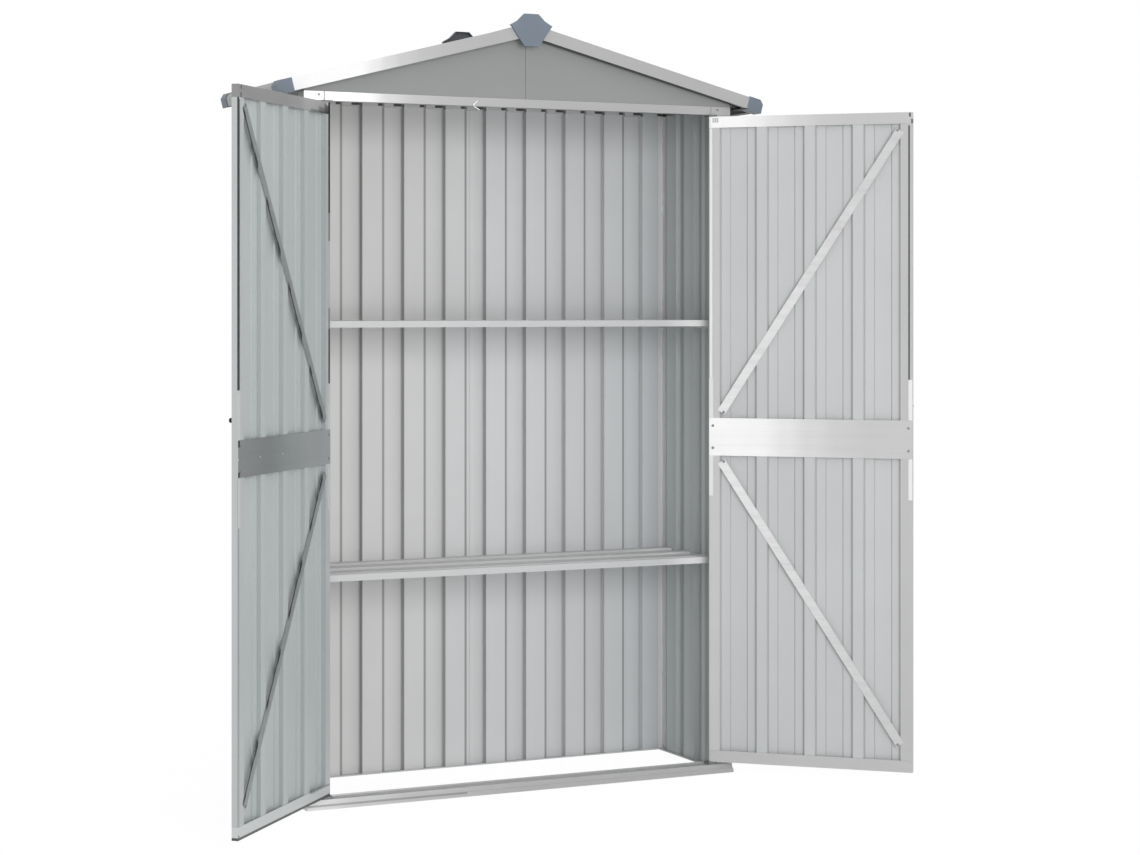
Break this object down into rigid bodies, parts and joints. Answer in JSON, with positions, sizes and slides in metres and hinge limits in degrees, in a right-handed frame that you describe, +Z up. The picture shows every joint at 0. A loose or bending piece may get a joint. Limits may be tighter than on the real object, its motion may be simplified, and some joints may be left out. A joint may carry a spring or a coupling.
{
  "type": "garden storage shed",
  "caption": "Narrow sheet-steel storage shed with ribbed walls, a low gabled roof, two hinged braced doors and two shelves, shown with its doors open.",
  "frame": {"origin": "on the ground under the front sill, midway along the doorway, in the plane of the header's face", "axes": "+X to the right of someone facing the doors, +Y into the shed, +Z up"},
  "size_m": [1.6384, 0.7348, 1.751],
  "materials": {
    "sheet_steel": "pale grey coated sheet, satin",
    "frame_steel": "pale grey coated sheet, satin",
    "shelf_steel": "pale grey coated sheet, satin",
    "cap_plastic": "slate blue-grey moulded plastic, matte",
    "knob_plastic": "black moulded plastic",
    "hinge_steel": "zinc-plated steel"
  },
  "bodies": {
    "root": {"back_bottom_rail": "frame_steel", "back_top_rail": "frame_steel", "back_wall_left": "sheet_steel", "back_wall_right": "sheet_steel", "eave_corner_caps": "cap_plastic", "eave_trims": "frame_steel", "front_gable_left": "sheet_steel", "front_gable_right": "sheet_steel", "front_header": "frame_steel", "front_sill": "frame_steel", "front_verge_trims": "frame_steel", "header_corners": "frame_steel", "hinge_brackets": "hinge_steel", "hinge_bushes": "hinge_steel", "left_jamb": "frame_steel", "left_wall": "sheet_steel", "lower_shelf": "shelf_steel", "rear_corner_posts": "frame_steel", "rear_gable_halves": "sheet_steel", "rear_verge_trims": "frame_steel", "ridge_caps": "cap_plastic", "ridge_strip": "frame_steel", "right_jamb": "frame_steel", "right_wall": "sheet_steel", "roof_sheet_left": "sheet_steel", "roof_sheet_right": "sheet_steel", "shelf_cleats": "shelf_steel", "side_bottom_rails": "frame_steel", "side_top_rails": "frame_steel", "upper_shelf": "shelf_steel"},
    "left_door": {"left_door_braces": "frame_steel", "left_door_edge_strips": "frame_steel", "left_door_free_stile": "frame_steel", "left_door_hinge_pins": "hinge_steel", "left_door_hinge_stile": "frame_steel", "left_door_knob": "knob_plastic", "left_door_mid_plate": "frame_steel", "left_door_panel": "sheet_steel", "left_door_rails": "frame_steel"},
    "right_door": {"right_door_braces": "frame_steel", "right_door_edge_strips": "frame_steel", "right_door_free_stile": "frame_steel", "right_door_hinge_pins": "hinge_steel", "right_door_hinge_stile": "frame_steel", "right_door_knob": "knob_plastic", "right_door_mid_plate": "frame_steel", "right_door_panel": "sheet_steel", "right_door_rails": "frame_steel"}
  },
  "joints": [
    {"name": "left_door_hinge", "type": "hinge", "parent": "root", "child": "left_door", "pos_m": [-0.476, -0.006, 0.78], "axis": [0, 0, 1], "range_deg": [-12.8, 132.2]},
    {"name": "right_door_hinge", "type": "hinge", "parent": "root", "child": "right_door", "pos_m": [0.476, -0.006, 0.78], "axis": [0, 0, 1], "range_deg": [-137.2, 7.8]}
  ]
}
